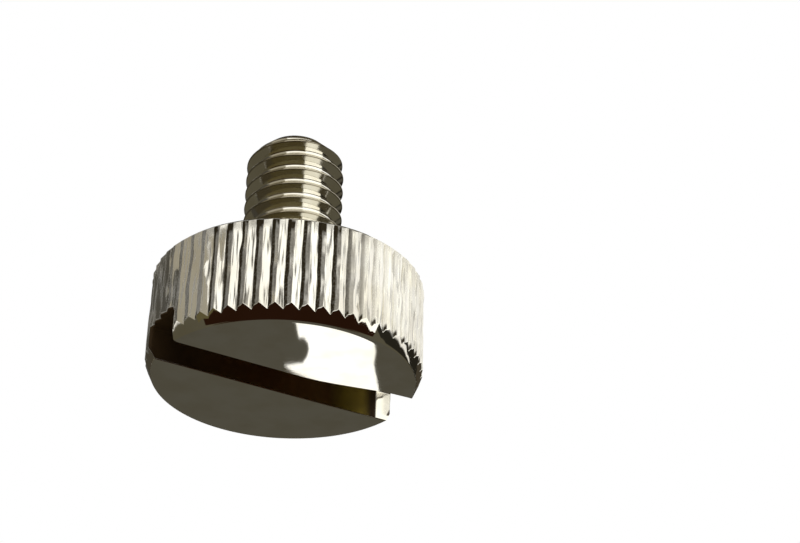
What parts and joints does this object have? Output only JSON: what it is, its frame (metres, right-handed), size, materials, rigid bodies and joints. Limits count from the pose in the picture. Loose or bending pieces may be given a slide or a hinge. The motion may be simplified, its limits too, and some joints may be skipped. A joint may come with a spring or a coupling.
{
  "type": "slotted knurled-head screw",
  "caption": "Short screw with a round straight-knurled head for turning by hand, a driver slot across its face, and a plain neck running into a right-hand thread.",
  "frame": {"origin": "centre of the slotted face, on which the screw stands", "axes": "+Z along the screw's axis from the slotted face to the tip, +X along the driver slot"},
  "size_m": [0.016, 0.016, 0.016],
  "materials": {
    "nickel": "bright nickel plate with a slightly warm tone"
  },
  "bodies": {
    "root": {"screw": "nickel"}
  },
  "joints": []
}
